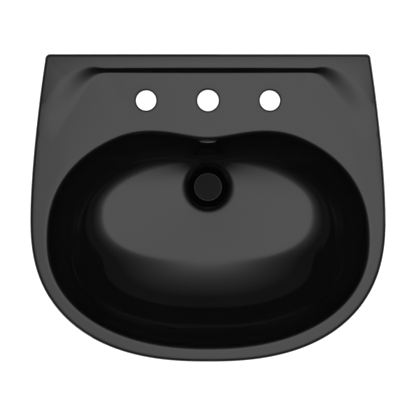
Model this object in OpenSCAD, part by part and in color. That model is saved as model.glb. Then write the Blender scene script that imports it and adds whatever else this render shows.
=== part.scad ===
// Pedestal sink in vitreous china, with its push-type drain and P-trap.
// Origin on the floor under the centre of the basin's outline, +Y towards the wall, +Z up.

/* [Basin] */
// Width of the basin over its sides
basin_w = 584; // [570:1:600]
// Depth of the basin from the wall to the front
basin_d = 505; // [500:1:515]
// Height of the rim above the floor
rim_z = 850; // [840:1:880]
// Height of the back ledge above the rim
ledge_h = 9; // [4:1:12]
// Depth of the bowl from the rim to the drain
bowl_depth = 150; // [140:1:155]
// Radius of the outer edge of the rim
edge_r = 5.5; // [4:0.5:7]
// Radius of the lip of the bowl
lip_r = 7; // [5:0.5:8]
// Thickness of the deck that carries the faucet
deck_t = 16; // [14:1:20]
// Thickness of the skirt at the back and the sides
skirt_t = 13; // [11:1:15]
// Height of the skirt at the wall
skirt_h = 98; // [90:1:105]

/* [Faucet and wall holes] */
// Distance from the centre hole to each outer hole
faucet_pitch = 101.6; // [95:0.1:105]
// Distance from the wall to the line of faucet holes
faucet_setback = 76; // [72:1:80]
// Diameter of the centre faucet hole
faucet_mid_d = 35; // [32:1:36]
// Diameter of the two outer faucet holes
faucet_side_d = 33; // [30:1:35]
// Distance between the two wall bolts
wall_bolt_spacing = 280; // [260:1:300]
// Diameter of a wall bolt hole
wall_bolt_d = 13; // [10:1:14]
// Height of the wall bolts below the rim
wall_bolt_drop = 55; // [45:1:62]

/* [Pedestal] */
// Half width of the pedestal at its waist
waist_a = 79; // [78:1:84]
// Half width of the pedestal at its top
neck_a = 108; // [106:1:112]
// Half width of the pedestal at its foot
foot_a = 121; // [118:1:124]
// Thickness of the pedestal's wall
column_t = 12; // [10:1:12]
// Half width of the opening in the pedestal's back
back_gap = 66; // [65:1:67]

/* [Drain] */
// Distance from the basin's middle to the drain, towards the wall
drain_y = 35.3; // [33:0.1:37]
// Diameter of the stopper cap
cap_d = 47; // [45:1:48]
// Diameter of the drain flange
flange_d = 66; // [62:1:66]
// Travel of the stopper between closed and open
stopper_travel = 9; // [6:1:9]

/* [Trap] */
// Outer diameter of the tailpiece and the trap's pipes
pipe_d = 31.75; // [31.75]
// Distance between the two legs of the J-bend
bend_pitch = 64; // [62:1:66]
// Sideways offset of the trap arm from the drain
arm_x = 38; // [37:1:40]
// Height of the trap arm above the floor
arm_z = 500; // [495:1:505]

/* [Hidden] */

$fn = 64;
eps = 0.01;

// Outline of the basin
half_w = basin_w / 2;
back_y = basin_d / 2;
widest_y = -17.2;
front_b = back_y + widest_y;
front_n = 2.42;
side_curve = 0.00339;
side_power = 1.6;
corner_r = 8;
front_steps = 16;
side_steps = 6;
corner_steps = 2;
back_steps = 6;

// Rim line of the bowl, in polar form about the bowl's middle
bowl_y = -53.3;
bowl_a = 265.5;
bowl_front = 179;
bowl_back = 195;
bowl_front_n = 2.2;
bowl_back_n = 2.3;
dip_depth = 25;
dip_half_angle = 42;
lip_inset = 5.5;

// Floor of the bowl and its wall
floor_y = -6;
floor_a = 172;
floor_b = 82;
floor_rise = 11;
dish_depth = 3;
dish_w = 10;
wall_n = 1.8;
recess_r = flange_d / 2 + 0.5;
recess_drop = 5;
drain_z = rim_z - bowl_depth;

// Ledge at the back of the deck
ledge_y = back_y - 27;
ledge_flat = 180;
ledge_curve = 0.0321;
ledge_power = 1.8;
ledge_ramp = 10;
ledge_from = 30;
ledge_full = 48;

// Underside of the basin
band_z = rim_z - 50;
skirt_z = rim_z - skirt_h;
belly_z = drain_z - 10;
neck_z = drain_z - 30;
hollow_from = 16;
hollow_full = 36;
neck_ring_t = 14;
bowl_t = 13;
boss_r = 42;
boss_z = drain_z - 45;
hole_r = 22.25;

// Overflow
overflow_z = rim_z - 27;
overflow_w = 37;
overflow_h = 17;
pout_y = 112;
pout_w = 36;
pout_d = 4.5;
pout_h = 3.5;
channel_y = 123;
channel_r = 7;
channel_low_z = drain_z - 16;
channel_wall = 5;
channel_back_wall = 8;
channel_front_wall = 2;

// Pedestal
column_y = 35;
column_depth_ratio = 0.88;
column_front_n = 2.3;
column_back_n = 5;
column_steps = 40;
pad_t = 2;
column_top = neck_z - pad_t;
plinth_h = 24;
foot_flare = 34;
foot_decay = 55;
neck_flare_power = 5;
gap_low_z = 60;
gap_high_z = 600;
foot_web_t = 14;
web_w = 210;
web_d = 40;
floor_hole_d = 10;
floor_hole_y = column_y + 62;

// Drain
recess_z = drain_z - recess_drop;
flange_z = recess_z + 1.5;
body_r = 20.8;
body_bore_r = 18;
body_low_z = drain_z - 102;
seat_r = 21;
cap_r = cap_d / 2;
cap_z = drain_z - 1;
cap_t = 4;
cap_bevel = 1.2;
hub_r = 8;
hub_z = drain_z - 42;
hub_h = 10;
cartridge_r = 10;
cartridge_bore_r = 7.5;
cartridge_z = hub_z + hub_h;
cartridge_h = 27.5;
stem_r = 5;
stem_bore_r = 3.4;
nut_flats = 56;

// Trap
pipe_r = pipe_d / 2;
pipe_wall = 1.3;
bend_r = bend_pitch / 2;
socket_gap = 0.1;
socket_r = pipe_r + socket_gap;
thread_r = 20.5;
slip_nut_r = 23;
slip_nut_bore_r = thread_r + 0.3;
washer_z = 4;
inlet_z = 470;
bend_z = arm_z - 70;
elbow_r = 32;
elbow_z = arm_z - elbow_r;
outlet_z = bend_z + 26;
arm_y = drain_y + sqrt(bend_pitch * bend_pitch - arm_x * arm_x);
swing = atan2(arm_y - drain_y, arm_x);

// ---------- general functions ----------

function mix(a, b, t) = a + (b - a) * t;
function clamp01(t) = min(1, max(0, t));
function smooth01(t) = clamp01(t) * clamp01(t) * (3 - 2 * clamp01(t));
function at_height(p, z) = [p.x, p.y, z];
function unit(ang) = [cos(ang), sin(ang)];
function angle_of(v) = atan2(v.y, v.x);

// Radius of a superellipse with half axes a and b and exponent n, at an angle
function super_r(ang, a, b, n) = pow(pow(abs(cos(ang)) / a, n) + pow(abs(sin(ang)) / b, n), -1 / n);

// Faces between ring j and ring k, each a list of n points
function band(j, k, n) = [
    for (i = [0 : n - 1])
        let (next = (i + 1) % n)
        for (tri = [[j * n + i, j * n + next, k * n + next], [j * n + i, k * n + next, k * n + i]])
            tri
];

// Solid skin over rings that start at a centre on top and end at a centre underneath
module skin_from_rings(rings, top_centre, low_centre) {
    n = len(rings[0]);
    last = len(rings) - 1;
    top_i = n * (last + 1);
    polyhedron(
        points = concat([for (ring = rings) each ring], [top_centre, low_centre]),
        faces = concat(
            [for (j = [0 : last - 1]) each band(j, j + 1, n)],
            [for (i = [0 : n - 1]) [top_i, (i + 1) % n, i]],
            [for (i = [0 : n - 1]) [top_i + 1, last * n + i, last * n + (i + 1) % n]]
        ),
        convexity = 10
    );
}

// Solid skin over rings that close on themselves, as on a tube
module skin_of_tube(rings) {
    n = len(rings[0]);
    count = len(rings);
    polyhedron(
        points = [for (ring = rings) each ring],
        faces = [for (j = [0 : count - 1]) each band(j, (j + 1) % count, n)],
        convexity = 10
    );
}

// Ring with a rectangular section, standing on z
module ring(z, h, outer_r, inner_r) {
    translate([0, 0, z])
        difference() {
            cylinder(r = outer_r, h = h);
            translate([0, 0, -1])
                cylinder(r = inner_r, h = h + 2);
        }
}

// Places its children on the drain's axis
module on_drain() {
    translate([0, drain_y, 0])
        children();
}

// Places its children on the axis of the J-bend's outlet
module on_outlet() {
    translate([arm_x, arm_y, 0])
        children();
}

// ---------- basin ----------

function side_x(y) = half_w - side_curve * pow(max(0, y - widest_y), side_power);

// Right half of the outline from the front to the back, moved inwards by inset
function half_outline(inset) =
    let (
        r = max(corner_r - inset, 1),
        corner_y = back_y - inset - r,
        corner_x = side_x(back_y - corner_r) - inset - r
    )
    concat(
        [for (k = [0 : front_steps - 1])
            let (a = 90 * (1 - k / front_steps))
            [(half_w - inset) * pow(cos(a), 2 / front_n),
             widest_y - (front_b - inset) * pow(sin(a), 2 / front_n)]],
        [for (k = [0 : side_steps - 1])
            let (y = mix(widest_y, corner_y, k / side_steps))
            [side_x(y) - inset, y]],
        [for (k = [0 : corner_steps])
            [corner_x, corner_y] + r * unit(90 * k / corner_steps)],
        [for (k = [1 : back_steps])
            [corner_x * (1 - k / back_steps), corner_y + r]]
    );

function outline(inset) =
    let (half = half_outline(inset))
    concat(half, [for (k = [len(half) - 2 : -1 : 1]) [-half[k].x, half[k].y]]);

bowl_c = [0, bowl_y];
drain_c = [0, drain_y];
column_c = [0, column_y];
edge_line = outline(0);
ray = [for (p = edge_line) angle_of(p - bowl_c)];
ray_count = len(ray);

// Angle of a ray above the bowl's cross axis, the same on both sides
function back_angle(i) = asin(sin(ray[i]));

function dip(ang) =
    abs(ang - 90) < dip_half_angle ? dip_depth * (0.5 + 0.5 * cos(180 * (ang - 90) / dip_half_angle)) : 0;
function rim_r(ang) =
    sin(ang) < 0
        ? super_r(ang, bowl_a, bowl_front, bowl_front_n)
        : super_r(ang, bowl_a, bowl_back, bowl_back_n) - dip(ang);

// Point of the bowl's upright edge on ray i, moved outwards by grow
function bowl_edge(i, grow) = bowl_c + (rim_r(ray[i]) - lip_inset + grow) * unit(ray[i]);

// Distance along a ray from the bowl's middle to the ellipse where the bowl's floor starts
function floor_r(ang) =
    let (
        shift = bowl_y - floor_y,
        a = pow(cos(ang) / floor_a, 2) + pow(sin(ang) / floor_b, 2),
        b = 2 * shift * sin(ang) / pow(floor_b, 2),
        c = pow(shift / floor_b, 2) - 1
    )
    (-b + sqrt(b * b - 4 * a * c)) / (2 * a);
function floor_edge(i) = bowl_c + floor_r(ray[i]) * unit(ray[i]);

// Floor of the bowl: a dish round the drain and a gentle rise, at share t of the way outwards
function floor_height(t, p) =
    dish_depth * smooth01((norm(p - drain_c) - recess_r) / dish_w) + (floor_rise - dish_depth) * t;
function floor_ring(t) = [
    for (i = [0 : ray_count - 1])
        let (
            out = floor_edge(i),
            start = drain_c + (recess_r + 1.5) * unit(angle_of(out - drain_c)),
            p = mix(start, out, t)
        )
        at_height(p, drain_z + floor_height(t, p))
];

// Wall of the bowl: a quarter of a superellipse from the floor (90) to the upright edge (0)
function wall_ring(a) = [
    for (i = [0 : ray_count - 1])
        let (base = drain_z + floor_height(1, floor_edge(i)))
        at_height(
            mix(floor_edge(i), bowl_edge(i, 0), pow(cos(a), 2 / wall_n)),
            mix(rim_z - lip_r, base, pow(sin(a), 2 / wall_n))
        )
];
function lip_ring(a) = [
    for (i = [0 : ray_count - 1])
        at_height(bowl_edge(i, lip_r * (1 - cos(a))), rim_z - lip_r + lip_r * sin(a))
];

// Ledge: its front line, how high it stands on each ray, and where each ray meets it
function ledge_line(x) = ledge_y - ledge_curve * pow(max(0, abs(x) - ledge_flat), ledge_power);
function ledge_top(i) =
    ledge_h * smooth01((back_angle(i) - ledge_from) / (ledge_full - ledge_from))
    * (1 - 0.3 * pow(abs(edge_line[i].x) / half_w, 4));
function ledge_hit(ang, low, high, steps) =
    let (
        middle = (low + high) / 2,
        p = bowl_c + middle * unit(ang)
    )
    steps == 0 ? middle
        : p.y > ledge_line(p.x) ? ledge_hit(ang, low, middle, steps - 1)
        : ledge_hit(ang, middle, high, steps - 1);

// Point of the deck on ray i: across the ramp of the ledge as t runs from 0 to 1
function deck_point(i, t) =
    let (
        inner = rim_r(ray[i]) - lip_inset + lip_r,
        outer = norm(outline(edge_r)[i] - bowl_c),
        plain = mix(inner, outer, 0.2 + 0.6 * t),
        hit = min(ledge_hit(ray[i], inner, outer, 12), outer - ledge_ramp),
        ramp = max(hit, inner + ledge_ramp) + ledge_ramp * (t - 0.5),
        share = smooth01((back_angle(i) - 22) / 12)
    )
    bowl_c + mix(plain, ramp, share) * unit(ray[i]);
function deck_ring(t) = [
    for (i = [0 : ray_count - 1])
        at_height(deck_point(i, t), rim_z + ledge_top(i) * smooth01(t))
];

// Rounded outer edge of the rim, from flat (0) to upright (90)
function edge_ring(a) =
    let (line = outline(edge_r * (1 - sin(a))))
    [for (i = [0 : ray_count - 1])
        at_height(line[i], rim_z + ledge_top(i) - edge_r * (1 - cos(a)))];

// Share of the open hollow behind the bowl: none at the front, all of it at the back
function hollow(i) = smooth01((back_angle(i) - hollow_from) / (hollow_full - hollow_from));

// Line of the neck, where the basin meets the pedestal
function column_line(ang, a) =
    let (b = a * column_depth_ratio)
    column_c + super_r(ang, a, b, sin(ang) < 0 ? column_front_n : column_back_n) * unit(ang);
function neck_point(i, inset) = column_line(angle_of(edge_line[i] - column_c), neck_a - 3 - inset);

skirt_ins = outline(3);
skirt_back = outline(skirt_t);
skirt_fillet = outline(skirt_t + 10);

// Lower edge of the outer band: it drops towards the wall, where the skirt is deep
function skirt_low(i) = mix(band_z, skirt_z, smooth01((back_angle(i) + 5) / 48));

// The skirt leans inwards by inset, apart from the flat face that stands against the wall
function upright(i) = smooth01((back_angle(i) - 38) / 8);
function skirt_ring(inset, t) =
    let (line = outline(inset))
    [for (i = [0 : ray_count - 1])
        at_height(mix(line[i], edge_line[i], upright(i)), mix(rim_z - edge_r, skirt_low(i), t))];

// Belly of the basin at the front: a bulging sweep from the band to the neck
function belly_point(i, a) =
    at_height(mix(skirt_ins[i], neck_point(i, 0), 1 - cos(a)), mix(band_z, belly_z, sin(a)));

// The same seven rings at the back: up inside the skirt, under the deck and down behind the bowl
deck_low_z = rim_z - deck_t;
function shaft_point(i, t) =
    at_height(mix(bowl_edge(i, bowl_t), neck_point(i, -2), smooth01(t)), mix(deck_low_z - 12, belly_z, t));
function hollow_point(i, k) =
    k == 0 ? at_height(skirt_back[i], skirt_low(i))
    : k == 1 ? at_height(skirt_back[i], deck_low_z - 12)
    : k == 2 ? at_height(skirt_fillet[i], deck_low_z)
    : k == 3 ? at_height(bowl_edge(i, bowl_t + 9), deck_low_z)
    : shaft_point(i, (k - 4) / 2);

belly_angles = [16, 30, 44, 56, 67, 77, 86];
function under_ring(k) = [
    for (i = [0 : ray_count - 1])
        mix(belly_point(i, belly_angles[k]), hollow_point(i, k), hollow(i))
];
function neck_ring(inset, z) = [
    for (i = [0 : ray_count - 1])
        at_height(neck_point(i, inset), z)
];

module basin_skin() {
    skin_from_rings(
        concat(
            [for (t = [0, 0.07, 0.15, 0.35, 0.65]) floor_ring(t)],
            [for (a = [90, 79, 68, 57, 46, 35, 24, 12, 0]) wall_ring(a)],
            [for (a = [30, 60, 90]) lip_ring(a)],
            [for (t = [0, 0.25, 0.5, 0.75, 1]) deck_ring(t)],
            [for (a = [0, 30, 60, 90]) edge_ring(a)],
            [skirt_ring(0.5, 0.5), skirt_ring(3, 1)],
            [for (k = [0 : len(belly_angles) - 1]) under_ring(k)],
            [neck_ring(-1, neck_z + 12), neck_ring(0, neck_z)],
            [neck_ring(neck_ring_t, neck_z), neck_ring(neck_ring_t + 3, belly_z - 2)]
        ),
        at_height(drain_c, drain_z),
        at_height(column_c, belly_z - 2)
    );
}

module faucet_hole(x, d) {
    translate([x, back_y - faucet_setback, rim_z - 60]) {
        cylinder(d = d, h = 80);
        translate([0, 0, 60 - 1.2])
            cylinder(d1 = d, d2 = d + 5, h = 2.5);
    }
}

// Slot in the bowl's back wall, with round ends
module overflow_slot() {
    translate([0, channel_y, overflow_z])
        rotate([90, 0, 0])
            linear_extrude(height = 40)
                union() {
                    square([overflow_w - overflow_h, overflow_h], center = true);
                    for (side = [-1, 1])
                        translate([side * (overflow_w - overflow_h) / 2, 0])
                            circle(d = overflow_h);
                }
}

// China behind the bowl's back wall that carries the passage, kept out of the bowl
module overflow_rib() {
    rib_r = channel_r + channel_back_wall;
    rib_h = overflow_z - neck_z + 10;
    translate([0, channel_y, neck_z + 4])
        intersection() {
            cylinder(r = rib_r, h = rib_h);
            translate([-rib_r, -channel_r - channel_front_wall, 0])
                cube([2 * rib_r, 2 * rib_r, rib_h]);
        }
}

// Rounded lower lip of the slot, standing out from the wall
module overflow_pout() {
    translate([0, pout_y, overflow_z - overflow_h / 2 - 2])
        scale([pout_w / 2, pout_d, pout_h])
            sphere(r = 1);
}

// Passage from the overflow slot down to the side of the drain hole
module overflow_channel() {
    translate([0, channel_y, channel_low_z])
        cylinder(r = channel_r, h = overflow_z - channel_low_z);
    translate([0, channel_y, overflow_z])
        sphere(r = channel_r);
    translate([0, channel_y, channel_low_z])
        sphere(r = channel_r);
    translate([0, drain_y, channel_low_z])
        rotate([-90, 0, 0])
            cylinder(r = channel_r, h = channel_y - drain_y);
}

module basin() {
    color("#0b0b0c")
        difference() {
            union() {
                basin_skin();
                on_drain()
                    translate([0, 0, boss_z])
                        cylinder(r = boss_r, h = belly_z - boss_z + 4);
                // Walls round the overflow passage
                overflow_rib();
                overflow_pout();
                translate([0, drain_y, channel_low_z])
                    rotate([-90, 0, 0])
                        cylinder(r = channel_r + channel_wall, h = channel_y - drain_y);
            }
            on_drain() {
                translate([0, 0, boss_z - 1])
                    cylinder(r = hole_r, h = bowl_depth);
                translate([0, 0, recess_z])
                    cylinder(r = recess_r, h = 20);
            }
            overflow_slot();
            overflow_channel();
            faucet_hole(0, faucet_mid_d);
            for (side = [-1, 1]) {
                faucet_hole(side * faucet_pitch, faucet_side_d);
                translate([side * wall_bolt_spacing / 2, back_y + 1, rim_z - wall_bolt_drop])
                    rotate([90, 0, 0])
                        cylinder(d = wall_bolt_d, h = skirt_t + 8);
            }
        }
}

// ---------- pedestal ----------

// Half width of the pedestal at a height
function column_a(z) =
    z < plinth_h + eps
        ? foot_a - 3 * z / plinth_h
        : waist_a + foot_flare * exp(-(z - plinth_h) / foot_decay)
          + (neck_a - waist_a) * pow(z / column_top, neck_flare_power);
function column_ring(z, inset) = [
    for (k = [0 : column_steps - 1])
        at_height(column_line(360 * (k + 0.5) / column_steps, column_a(z) - inset), z)
];

column_levels = [1, 0.97, 0.93, 0.88, 0.82, 0.74, 0.62, 0.48, 0.34, 0.22, 0.14, 0.09, 0.06];

module pedestal() {
    color("#0b0b0c")
        difference() {
            union() {
                skin_of_tube(
                    concat(
                        [for (share = column_levels) column_ring(share * column_top, 0)],
                        [column_ring(plinth_h + 1, 0), column_ring(plinth_h, 0), column_ring(0, 0)],
                        [column_ring(0, column_t + 10), column_ring(plinth_h, column_t + 8)],
                        [for (k = [len(column_levels) - 1 : -1 : 0])
                            column_ring(column_levels[k] * column_top, column_t)]
                    )
                );
                // Web across the foot, with the hole for a floor stud
                translate([-web_w / 2, floor_hole_y - web_d / 2, 0])
                    cube([web_w, web_d, foot_web_t]);
            }
            translate([-back_gap, column_y, gap_low_z])
                cube([2 * back_gap, 2 * neck_a, gap_high_z - gap_low_z]);
            translate([0, floor_hole_y, -1])
                cylinder(d = floor_hole_d, h = foot_web_t + 2);
        }
}

module pedestal_pads() {
    color("#1a1a1a")
        for (ang = [-145, -90, -35, 50, 130])
            translate(at_height(column_line(ang, neck_a - 9), column_top))
                cylinder(r = 4.5, h = pad_t);
}

// ---------- drain ----------

module drain_body() {
    color("#141414")
        on_drain()
            difference() {
                union() {
                    rotate_extrude()
                        polygon([
                            [body_bore_r, body_low_z],
                            [body_r, body_low_z],
                            [body_r, flange_z],
                            [flange_d / 2 - 0.6, flange_z],
                            [flange_d / 2, flange_z + 0.6],
                            [flange_d / 2, flange_z + 2],
                            [flange_d / 2 - 0.6, flange_z + 2.5],
                            [seat_r, flange_z + 1.1],
                            [body_bore_r, flange_z - 1.5]
                        ]);
                    // Three spokes and the hub that holds the cartridge
                    translate([0, 0, hub_z])
                        cylinder(r = hub_r, h = hub_h);
                    for (k = [0 : 2])
                        rotate([0, 0, 120 * k])
                            translate([hub_r - 1, -1.75, hub_z + 1])
                                cube([body_bore_r - hub_r + 2, 3.5, hub_h - 2]);
                }
                translate([0, 0, hub_z - 1])
                    cylinder(r = 4.1, h = hub_h + 2);
                // Overflow ports
                for (k = [0 : 3])
                    rotate([0, 0, 90 * k])
                        translate([body_bore_r - 3, -5, channel_low_z - 6])
                            cube([8, 10, 12]);
            }
}

module flange_gasket() {
    color("#202020")
        on_drain()
            ring(recess_z, flange_z - recess_z, 31, 22.5);
}

module tapered_gasket() {
    color("#202020")
        on_drain()
            rotate_extrude()
                polygon([
                    [body_r + 0.2, boss_z - 10],
                    [30, boss_z - 10],
                    [30, boss_z - 7],
                    [25, boss_z],
                    [body_r + 0.2, boss_z]
                ]);
}

module friction_washer() {
    color("#e8e8e4")
        on_drain()
            ring(boss_z - 11.5, 1.5, 30, body_r + 0.3);
}

module drain_locknut() {
    color("#b08d57")
        on_drain()
            difference() {
                translate([0, 0, boss_z - 23])
                    intersection() {
                        cylinder(d = nut_flats / cos(30), h = 11.5, $fn = 6);
                        cylinder(d1 = nut_flats + 4, d2 = nut_flats + 14, h = 11.5);
                    }
                translate([0, 0, boss_z - 24])
                    cylinder(r = body_r + 0.2, h = 14);
            }
}

module cartridge_body() {
    color("#d9d9d6")
        on_drain() {
            // Stud in the hub
            translate([0, 0, hub_z + 1])
                cylinder(r = 4, h = hub_h - 1 + eps);
            difference() {
                translate([0, 0, cartridge_z])
                    cylinder(r = cartridge_r, h = cartridge_h - 2.5);
                translate([0, 0, cartridge_z + 3])
                    cylinder(r = cartridge_bore_r, h = cartridge_h);
            }
            // Pin that guides the spring
            translate([0, 0, cartridge_z + 3 - eps])
                cylinder(r = 1.5, h = 18);
        }
}

module cartridge_collar() {
    color("#c9c9c4")
        on_drain()
            ring(cartridge_z + cartridge_h - 2.5, 2.5, cartridge_r, stem_r + 0.08);
}

// Wire of the spring as a coil of rings round its path
spring_turns = 7;
spring_r = 2.45;
spring_wire_r = 0.4;
spring_low = cartridge_z + 3.5;
spring_high = cap_z - 2.6;
wire_sides = 6;
steps_per_turn = 14;

module click_spring() {
    steps = spring_turns * steps_per_turn;
    rings = [
        for (s = [0 : steps])
            let (a = 360 * s / steps_per_turn)
            [for (w = [0 : wire_sides - 1])
                let (r = spring_r + spring_wire_r * cos(360 * w / wire_sides))
                [r * cos(a), r * sin(a),
                 mix(spring_low, spring_high, s / steps) + spring_wire_r * sin(360 * w / wire_sides)]]
    ];
    start = [spring_r, 0, spring_low];
    finish = [spring_r, 0, spring_high];
    color("#a9adb0")
        on_drain()
            skin_from_rings(rings, start, finish);
}

module stopper_cap() {
    color("#1b1b1b")
        on_drain()
            difference() {
                rotate_extrude()
                    polygon([
                        [0, cap_z],
                        [cap_r - 1.5, cap_z],
                        [cap_r, cap_z + 1],
                        [cap_r, cap_z + cap_t - cap_bevel],
                        [cap_r - cap_bevel, cap_z + cap_t],
                        [0, cap_z + cap_t]
                    ]);
                translate([0, 0, cap_z - 1])
                    cylinder(r = 3, h = 3.2);
            }
}

module stopper_seal() {
    color("#202020")
        on_drain()
            rotate_extrude()
                polygon([
                    [14, cap_z - 1.2],
                    [20.6, cap_z - 1.2],
                    [21.4, cap_z - 0.6],
                    [21.4, cap_z],
                    [14, cap_z]
                ]);
}

module stopper_stem() {
    color("#b8bcc0")
        on_drain() {
            difference() {
                translate([0, 0, cartridge_z + 4])
                    cylinder(r = stem_r, h = cap_z - cartridge_z - 4);
                translate([0, 0, cartridge_z + 3])
                    cylinder(r = stem_bore_r, h = cap_z - cartridge_z - 5);
            }
            translate([0, 0, cap_z - eps])
                cylinder(r = 2.9, h = 2);
            ring(cartridge_z + 13, 2.5, 7, stem_r - 0.5);
        }
}

module stem_clip() {
    color("#8a8d90")
        on_drain()
            ring(cartridge_z + 4.4, 1, 6.6, stem_r);
}

// Ring with six sloping teeth, which turns one step for each push
module index_rotor() {
    color("#dcdcd2")
        on_drain() {
            difference() {
                translate([0, 0, cartridge_z + 5.8])
                    cylinder(r = 7.2, h = 6.6);
                translate([0, 0, cartridge_z + 5])
                    cylinder(r = stem_r + 0.08, h = 8);
                for (k = [0 : 5])
                    rotate([0, 0, 60 * k])
                        translate([4, -1, cartridge_z + 10.6])
                            rotate([18, 0, 0])
                                cube([5, 2.2, 4]);
            }
        }
}

// ---------- tailpiece and trap ----------

module tailpiece_washer() {
    color("#202020")
        on_drain()
            ring(body_low_z - 1.5, 1.5, body_r - 0.3, pipe_r);
}

module tailpiece() {
    color("#c4c6c8")
        on_drain()
            difference() {
                union() {
                    translate([0, 0, inlet_z - 20])
                        cylinder(r = pipe_r, h = body_low_z + 12 - inlet_z + 20);
                    // Threaded collar inside the drain body, and the shoulder under its washer
                    translate([0, 0, body_low_z])
                        cylinder(r = body_bore_r - 0.1, h = 11);
                    translate([0, 0, body_low_z - 5.5])
                        cylinder(r = body_r, h = 4);
                }
                translate([0, 0, inlet_z - 21])
                    cylinder(r = pipe_r - pipe_wall, h = 200);
            }
}

// Slip nut with eight lobes, which clamps a washer of the pipe's size on the socket below it
module slip_nut(z) {
    difference() {
        union() {
            translate([0, 0, z])
                cylinder(r = slip_nut_r, h = 24, $fn = 8);
            translate([0, 0, z + 16])
                cylinder(r = slip_nut_r - 1, h = 10);
        }
        translate([0, 0, z - 1])
            cylinder(r = slip_nut_bore_r, h = 22);
        translate([0, 0, z])
            cylinder(r = pipe_r + 0.4, h = 30);
    }
}

// Cone-shaped washer that stands on a socket's rim
module slip_washer(z) {
    rotate_extrude()
        polygon([
            [pipe_r + 0.1, z],
            [thread_r - 0.2, z],
            [thread_r - 0.2, z + 1],
            [pipe_r + 1.6, z + washer_z],
            [pipe_r + 0.1, z + washer_z]
        ]);
}

// Socket that takes a pipe from above, between a low and a high level
module socket(low_z, high_z) {
    difference() {
        union() {
            translate([0, 0, low_z])
                cylinder(r = socket_r + 1.8, h = high_z - low_z);
            translate([0, 0, high_z - 14])
                cylinder(r = thread_r, h = 14);
        }
        translate([0, 0, low_z + 3])
            cylinder(r = socket_r, h = high_z - low_z);
        translate([0, 0, low_z - 1])
            cylinder(r = pipe_r - pipe_wall, h = 10);
    }
}

// Bend of pipe in the XZ plane, from an angle through a sweep
module pipe_bend(r, from, sweep) {
    rotate([90, 0, 0])
        rotate([0, 0, from])
            rotate_extrude(angle = sweep)
                translate([r, 0])
                    difference() {
                        circle(r = pipe_r);
                        circle(r = pipe_r - pipe_wall);
                    }
}

// Straight pipe standing on z
module pipe(z, h) {
    ring(z, h, pipe_r, pipe_r - pipe_wall);
}

module j_bend() {
    color("#c4c6c8")
        on_drain()
            rotate([0, 0, swing]) {
                socket(inlet_z - 26, inlet_z);
                pipe(bend_z, inlet_z - 26 - bend_z);
                translate([bend_r, 0, bend_z])
                    pipe_bend(bend_r, 180, 180);
                translate([bend_pitch, 0, 0])
                    socket(bend_z, outlet_z);
            }
}

module trap_inlet_nut() {
    color("#b9bcc0")
        on_drain()
            slip_nut(inlet_z - 16);
}

module trap_inlet_washer() {
    color("#e8e8e4")
        on_drain()
            slip_washer(inlet_z);
}

module trap_outlet_nut() {
    color("#b9bcc0")
        on_outlet()
            slip_nut(outlet_z - 16);
}

module trap_outlet_washer() {
    color("#e8e8e4")
        on_outlet()
            slip_washer(outlet_z);
}

module trap_arm() {
    color("#c4c6c8")
        on_outlet() {
            pipe(bend_z + 5, elbow_z - bend_z - 5);
            rotate([0, 0, 90])
                translate([elbow_r, 0, elbow_z])
                    pipe_bend(elbow_r, 90, 90);
            translate([0, elbow_r, arm_z])
                rotate([-90, 0, 0])
                    pipe(0, back_y - arm_y - elbow_r);
        }
}

module wall_escutcheon() {
    color("#c4c6c8")
        translate([arm_x, back_y, arm_z])
            rotate([90, 0, 0])
                rotate_extrude()
                    polygon([
                        [34.5, 0],
                        [36, 0],
                        [35, 3],
                        [30, 6.5],
                        [23, 8.8],
                        [18.5, 9.5],
                        [18.5, 14],
                        [pipe_r + 0.1, 14],
                        [pipe_r + 0.1, 7.5],
                        [22.5, 7.2],
                        [29, 5],
                        [33.5, 2]
                    ]);
}

basin();
pedestal();
pedestal_pads();
drain_body();
flange_gasket();
tapered_gasket();
friction_washer();
drain_locknut();
cartridge_body();
cartridge_collar();
click_spring();
stopper_cap();
stopper_seal();
stopper_stem();
stem_clip();
index_rotor();
tailpiece_washer();
tailpiece();
j_bend();
trap_inlet_nut();
trap_inlet_washer();
trap_outlet_nut();
trap_outlet_washer();
trap_arm();
wall_escutcheon();
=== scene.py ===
import math

import bpy
import numpy as np
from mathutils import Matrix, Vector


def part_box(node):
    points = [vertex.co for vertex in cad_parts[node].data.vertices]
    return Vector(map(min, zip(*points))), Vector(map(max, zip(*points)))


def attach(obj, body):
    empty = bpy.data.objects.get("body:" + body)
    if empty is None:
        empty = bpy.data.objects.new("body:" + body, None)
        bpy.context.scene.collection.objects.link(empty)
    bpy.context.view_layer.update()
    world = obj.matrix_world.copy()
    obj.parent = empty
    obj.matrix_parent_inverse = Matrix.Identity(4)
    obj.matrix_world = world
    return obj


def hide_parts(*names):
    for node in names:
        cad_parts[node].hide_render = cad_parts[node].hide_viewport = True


bl_info = {
    "name": "Pedestal Sink",
    "version": (1, 0, 0),
    "blender": (4, 5, 0),
    "location": "3D View > Sidebar > Sink",
    "description": "Builds the china, drain and trap of a pedestal sink round its packed frame",
    "category": "Add Mesh",
}

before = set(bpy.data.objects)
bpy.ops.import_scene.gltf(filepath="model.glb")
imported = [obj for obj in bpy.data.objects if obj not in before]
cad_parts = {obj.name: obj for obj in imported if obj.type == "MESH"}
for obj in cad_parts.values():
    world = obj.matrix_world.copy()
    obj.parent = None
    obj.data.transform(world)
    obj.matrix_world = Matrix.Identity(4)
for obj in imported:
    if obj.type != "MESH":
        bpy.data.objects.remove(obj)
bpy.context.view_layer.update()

MM = 0.001
BASIN_LOW, BASIN_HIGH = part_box("basin")
PEDESTAL_LOW, PEDESTAL_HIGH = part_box("pedestal")
CAP_LOW, CAP_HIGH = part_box("stopper_cap")
BODY_LOW, BODY_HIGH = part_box("drain_body")
DRAIN_Y = (CAP_LOW.y + CAP_HIGH.y) / 2

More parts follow.
